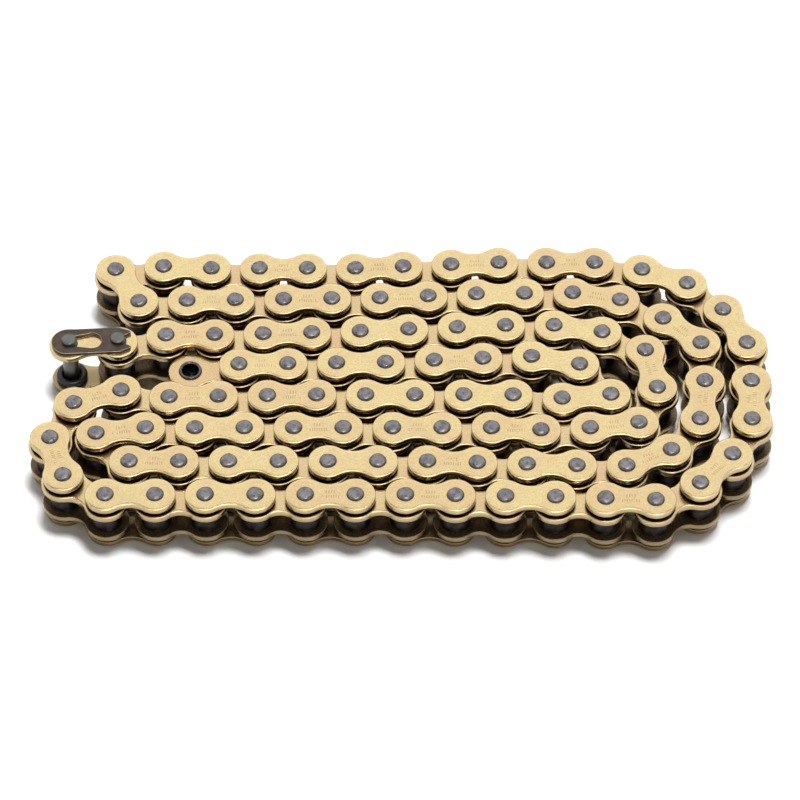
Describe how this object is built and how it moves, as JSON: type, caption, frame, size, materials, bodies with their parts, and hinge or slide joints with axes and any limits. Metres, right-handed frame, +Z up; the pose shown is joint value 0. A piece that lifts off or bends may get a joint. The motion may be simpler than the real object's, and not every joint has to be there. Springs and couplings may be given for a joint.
{
  "type": "motorcycle drive chain",
  "caption": "Sealed-ring roller drive chain coiled flat on its side, with gold plates, a free bush at one end and a spring-clip master link at the other.",
  "frame": {"origin": "middle of the coil's bounding box, on the surface that the lower pin ends rest on", "axes": "+Z up along every pin, +X to the right along the straight runs, +Y away from the viewer; the open ends of the chain are at the -X side"},
  "size_m": [0.2402, 0.113, 0.0222],
  "materials": {
    "outer_plate_gold": "satin",
    "inner_plate_gold": "satin",
    "pin_steel": "satin",
    "bush_steel": "satin",
    "bright_bush_steel": "satin",
    "roller_steel": "satin",
    "seal_rubber": "satin",
    "clip_steel": "satin"
  },
  "bodies": {
    "coil": {"outer_plates_top": "outer_plate_gold", "outer_plates_bottom": "outer_plate_gold", "inner_plates_top": "inner_plate_gold", "inner_plates_bottom": "inner_plate_gold", "pins": "pin_steel", "bushes": "bush_steel", "rollers": "roller_steel", "seals_top": "seal_rubber", "seals_bottom": "seal_rubber"},
    "end_link": {"end_link_plate_top": "inner_plate_gold", "end_link_plate_bottom": "inner_plate_gold", "end_link_free_bush": "bright_bush_steel", "end_link_bush": "bush_steel"},
    "tail_link": {"tail_link_plate_top": "inner_plate_gold", "tail_link_plate_bottom": "inner_plate_gold", "tail_link_bush": "bush_steel", "tail_link_master_bush": "bush_steel"},
    "master_link": {"master_pin_plate": "outer_plate_gold", "master_pin_joined": "pin_steel", "master_pin_free": "pin_steel", "master_cover_plate": "outer_plate_gold", "master_seals": "seal_rubber", "free_pin_seal": "seal_rubber"},
    "clip": {"spring_clip": "clip_steel"},
    "end_roller_free_body": {"end_roller_free": "roller_steel"},
    "end_roller_joined_body": {"end_roller_joined": "roller_steel"},
    "tail_roller_body": {"tail_roller": "roller_steel"},
    "tail_roller_master_body": {"tail_roller_master": "roller_steel"},
    "front_roller_1_body": {"front_roller_1": "roller_steel"},
    "front_roller_2_body": {"front_roller_2": "roller_steel"},
    "front_roller_3_body": {"front_roller_3": "roller_steel"},
    "front_roller_4_body": {"front_roller_4": "roller_steel"},
    "front_roller_5_body": {"front_roller_5": "roller_steel"},
    "front_roller_6_body": {"front_roller_6": "roller_steel"},
    "front_roller_7_body": {"front_roller_7": "roller_steel"},
    "front_roller_8_body": {"front_roller_8": "roller_steel"},
    "front_roller_9_body": {"front_roller_9": "roller_steel"},
    "front_roller_10_body": {"front_roller_10": "roller_steel"},
    "front_roller_11_body": {"front_roller_11": "roller_steel"},
    "front_roller_12_body": {"front_roller_12": "roller_steel"},
    "turn_roller_1_body": {"turn_roller_1": "roller_steel"},
    "turn_roller_2_body": {"turn_roller_2": "roller_steel"},
    "turn_roller_3_body": {"turn_roller_3": "roller_steel"},
    "turn_roller_4_body": {"turn_roller_4": "roller_steel"},
    "turn_roller_5_body": {"turn_roller_5": "roller_steel"},
    "turn_roller_6_body": {"turn_roller_6": "roller_steel"},
    "turn_roller_7_body": {"turn_roller_7": "roller_steel"},
    "turn_roller_8_body": {"turn_roller_8": "roller_steel"},
    "back_roller_1_body": {"back_roller_1": "roller_steel"},
    "back_roller_2_body": {"back_roller_2": "roller_steel"},
    "back_roller_3_body": {"back_roller_3": "roller_steel"},
    "back_roller_4_body": {"back_roller_4": "roller_steel"},
    "back_roller_5_body": {"back_roller_5": "roller_steel"},
    "back_roller_6_body": {"back_roller_6": "roller_steel"},
    "back_roller_7_body": {"back_roller_7": "roller_steel"},
    "back_roller_8_body": {"back_roller_8": "roller_steel"},
    "back_roller_9_body": {"back_roller_9": "roller_steel"},
    "back_roller_10_body": {"back_roller_10": "roller_steel"},
    "back_roller_11_body": {"back_roller_11": "roller_steel"}
  },
  "joints": [
    {"name": "end_link_hinge", "type": "hinge", "parent": "coil", "child": "end_link", "pos_m": [-0.05315, 0.00592, 0.01017], "axis": [0, 0, 1], "range_deg": [-1.2, 0.5]},
    {"name": "tail_link_hinge", "type": "hinge", "parent": "coil", "child": "tail_link", "pos_m": [-0.07728, 0.01818, 0.01017], "axis": [0, 0, 1], "range_deg": [-14, 20]},
    {"name": "master_link_hinge", "type": "hinge", "parent": "tail_link", "child": "master_link", "pos_m": [-0.09286, 0.01515, 0.01017], "axis": [0, 0, -1], "range_deg": [-45, 60]},
    {"name": "clip_slide", "type": "slide", "parent": "master_link", "child": "clip", "axis": [-0.9986, -0.0523, 0], "range_m": [0, 0.0075]},
    {"name": "end_roller_free_spin", "type": "hinge", "parent": "end_link", "child": "end_roller_free_body", "pos_m": [-0.06902, 0.00564, 0.01017], "axis": [0, 0, 1], "continuous": true},
    {"name": "end_roller_joined_spin", "type": "hinge", "parent": "end_link", "child": "end_roller_joined_body", "pos_m": [-0.05315, 0.00592, 0.01017], "axis": [0, 0, 1], "continuous": true},
    {"name": "tail_roller_spin", "type": "hinge", "parent": "tail_link", "child": "tail_roller_body", "pos_m": [-0.07728, 0.01818, 0.01017], "axis": [0, 0, 1], "continuous": true},
    {"name": "tail_roller_master_spin", "type": "hinge", "parent": "tail_link", "child": "tail_roller_master_body", "pos_m": [-0.09286, 0.01515, 0.01017], "axis": [0, 0, 1], "continuous": true},
    {"name": "front_roller_1_spin", "type": "hinge", "parent": "coil", "child": "front_roller_1_body", "pos_m": [-0.09434, -0.04739, 0.01017], "axis": [0, 0, 1], "continuous": true},
    {"name": "front_roller_2_spin", "type": "hinge", "parent": "coil", "child": "front_roller_2_body", "pos_m": [-0.07846, -0.04739, 0.01017], "axis": [0, 0, 1], "continuous": true},
    {"name": "front_roller_3_spin", "type": "hinge", "parent": "coil", "child": "front_roller_3_body", "pos_m": [-0.06259, -0.04739, 0.01017], "axis": [0, 0, 1], "continuous": true},
    {"name": "front_roller_4_spin", "type": "hinge", "parent": "coil", "child": "front_roller_4_body", "pos_m": [-0.04671, -0.04739, 0.01017], "axis": [0, 0, 1], "continuous": true},
    {"name": "front_roller_5_spin", "type": "hinge", "parent": "coil", "child": "front_roller_5_body", "pos_m": [-0.03084, -0.04739, 0.01017], "axis": [0, 0, 1], "continuous": true},
    {"name": "front_roller_6_spin", "type": "hinge", "parent": "coil", "child": "front_roller_6_body", "pos_m": [-0.01496, -0.04739, 0.01017], "axis": [0, 0, 1], "continuous": true},
    {"name": "front_roller_7_spin", "type": "hinge", "parent": "coil", "child": "front_roller_7_body", "pos_m": [0.00091, -0.04739, 0.01017], "axis": [0, 0, 1], "continuous": true},
    {"name": "front_roller_8_spin", "type": "hinge", "parent": "coil", "child": "front_roller_8_body", "pos_m": [0.01679, -0.04767, 0.01017], "axis": [0, 0, 1], "continuous": true},
    {"name": "front_roller_9_spin", "type": "hinge", "parent": "coil", "child": "front_roller_9_body", "pos_m": [0.03266, -0.04795, 0.01017], "axis": [0, 0, 1], "continuous": true},
    {"name": "front_roller_10_spin", "type": "hinge", "parent": "coil", "child": "front_roller_10_body", "pos_m": [0.04853, -0.04822, 0.01017], "axis": [0, 0, 1], "continuous": true},
    {"name": "front_roller_11_spin", "type": "hinge", "parent": "coil", "child": "front_roller_11_body", "pos_m": [0.06439, -0.04878, 0.01017], "axis": [0, 0, 1], "continuous": true},
    {"name": "front_roller_12_spin", "type": "hinge", "parent": "coil", "child": "front_roller_12_body", "pos_m": [0.08026, -0.04933, 0.01017], "axis": [0, 0, 1], "continuous": true},
    {"name": "turn_roller_1_spin", "type": "hinge", "parent": "coil", "child": "turn_roller_1_body", "pos_m": [0.09465, -0.04262, 0.01017], "axis": [0, 0, 1], "continuous": true},
    {"name": "turn_roller_2_spin", "type": "hinge", "parent": "coil", "child": "turn_roller_2_body", "pos_m": [0.10547, -0.03101, 0.01017], "axis": [0, 0, 1], "continuous": true},
    {"name": "turn_roller_3_spin", "type": "hinge", "parent": "coil", "child": "turn_roller_3_body", "pos_m": [0.11243, -0.01674, 0.01017], "axis": [0, 0, 1], "continuous": true},
    {"name": "turn_roller_4_spin", "type": "hinge", "parent": "coil", "child": "turn_roller_4_body", "pos_m": [0.11299, -0.00088, 0.01017], "axis": [0, 0, 1], "continuous": true},
    {"name": "turn_roller_5_spin", "type": "hinge", "parent": "coil", "child": "turn_roller_5_body", "pos_m": [0.11243, 0.01499, 0.01017], "axis": [0, 0, 1], "continuous": true},
    {"name": "turn_roller_6_spin", "type": "hinge", "parent": "coil", "child": "turn_roller_6_body", "pos_m": [0.10523, 0.02913, 0.01017], "axis": [0, 0, 1], "continuous": true},
    {"name": "turn_roller_7_spin", "type": "hinge", "parent": "coil", "child": "turn_roller_7_body", "pos_m": [0.094, 0.04036, 0.01017], "axis": [0, 0, 1], "continuous": true},
    {"name": "turn_roller_8_spin", "type": "hinge", "parent": "coil", "child": "turn_roller_8_body", "pos_m": [0.07928, 0.0463, 0.01017], "axis": [0, 0, 1], "continuous": true},
    {"name": "back_roller_1_spin", "type": "hinge", "parent": "coil", "child": "back_roller_1_body", "pos_m": [0.0637, 0.04933, 0.01017], "axis": [0, 0, 1], "continuous": true},
    {"name": "back_roller_2_spin", "type": "hinge", "parent": "coil", "child": "back_roller_2_body", "pos_m": [0.04782, 0.04933, 0.01017], "axis": [0, 0, 1], "continuous": true},
    {"name": "back_roller_3_spin", "type": "hinge", "parent": "coil", "child": "back_roller_3_body", "pos_m": [0.03195, 0.04933, 0.01017], "axis": [0, 0, 1], "continuous": true},
    {"name": "back_roller_4_spin", "type": "hinge", "parent": "coil", "child": "back_roller_4_body", "pos_m": [0.0161, 0.0485, 0.01017], "axis": [0, 0, 1], "continuous": true},
    {"name": "back_roller_5_spin", "type": "hinge", "parent": "coil", "child": "back_roller_5_body", "pos_m": [0.00024, 0.04767, 0.01017], "axis": [0, 0, 1], "continuous": true},
    {"name": "back_roller_6_spin", "type": "hinge", "parent": "coil", "child": "back_roller_6_body", "pos_m": [-0.01561, 0.04684, 0.01017], "axis": [0, 0, 1], "continuous": true},
    {"name": "back_roller_7_spin", "type": "hinge", "parent": "coil", "child": "back_roller_7_body", "pos_m": [-0.03148, 0.04684, 0.01017], "axis": [0, 0, 1], "continuous": true},
    {"name": "back_roller_8_spin", "type": "hinge", "parent": "coil", "child": "back_roller_8_body", "pos_m": [-0.04736, 0.04684, 0.01017], "axis": [0, 0, 1], "continuous": true},
    {"name": "back_roller_9_spin", "type": "hinge", "parent": "coil", "child": "back_roller_9_body", "pos_m": [-0.06323, 0.04684, 0.01017], "axis": [0, 0, 1], "continuous": true},
    {"name": "back_roller_10_spin", "type": "hinge", "parent": "coil", "child": "back_roller_10_body", "pos_m": [-0.07909, 0.04767, 0.01017], "axis": [0, 0, 1], "continuous": true},
    {"name": "back_roller_11_spin", "type": "hinge", "parent": "coil", "child": "back_roller_11_body", "pos_m": [-0.0949, 0.04629, 0.01017], "axis": [0, 0, 1], "continuous": true}
  ]
}
